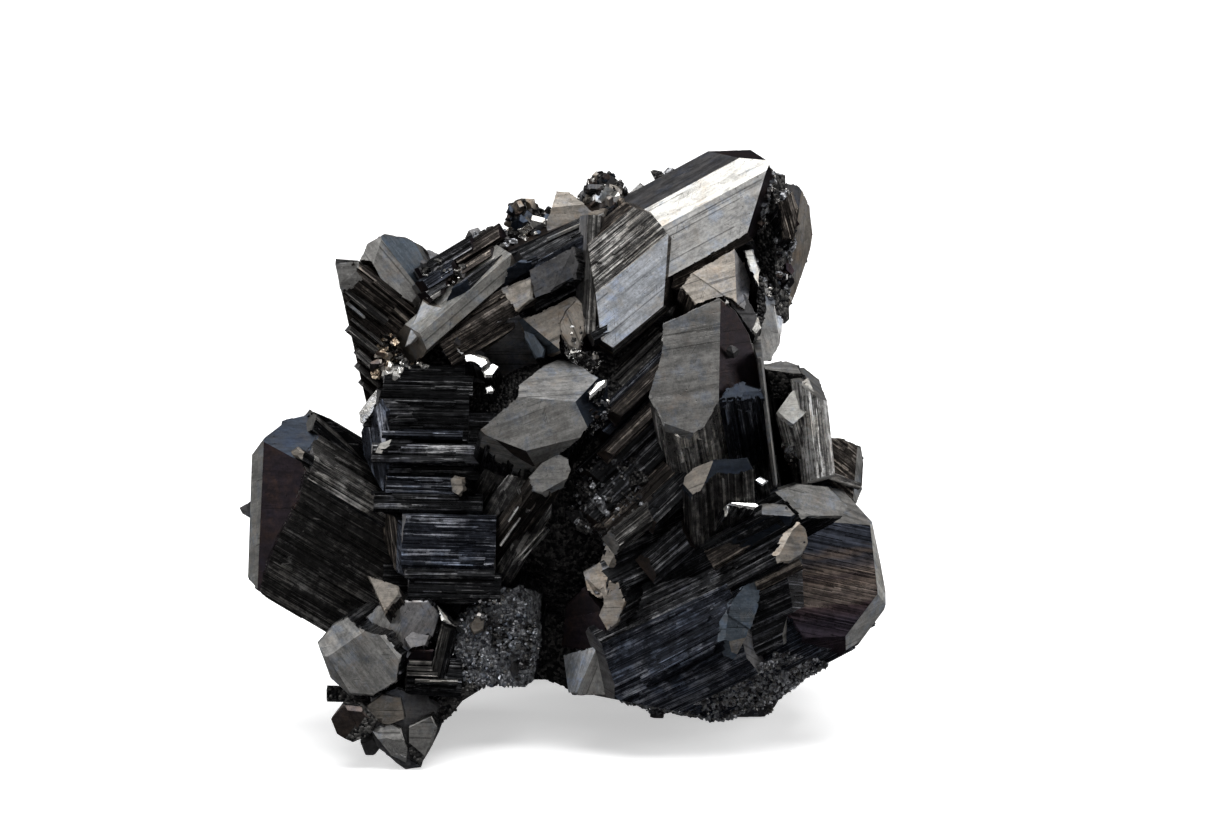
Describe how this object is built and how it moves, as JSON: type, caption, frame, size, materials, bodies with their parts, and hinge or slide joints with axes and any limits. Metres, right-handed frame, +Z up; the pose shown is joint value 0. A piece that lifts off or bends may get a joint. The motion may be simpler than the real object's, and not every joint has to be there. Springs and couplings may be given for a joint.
{
  "type": "chalcocite crystal cluster",
  "caption": "Specimen of intergrown striated metallic crystals, resting on its own broken base.",
  "frame": {"origin": "middle of the specimen's box at the level it rests on", "axes": "+Z up, +X to the right seen from the front, -Y towards the front, where the display side faces"},
  "size_m": [0.0646, 0.0466, 0.0571],
  "materials": {
    "chalcocite": "satin"
  },
  "bodies": {
    "root": {"chalcocite_cluster": "chalcocite"}
  },
  "joints": []
}
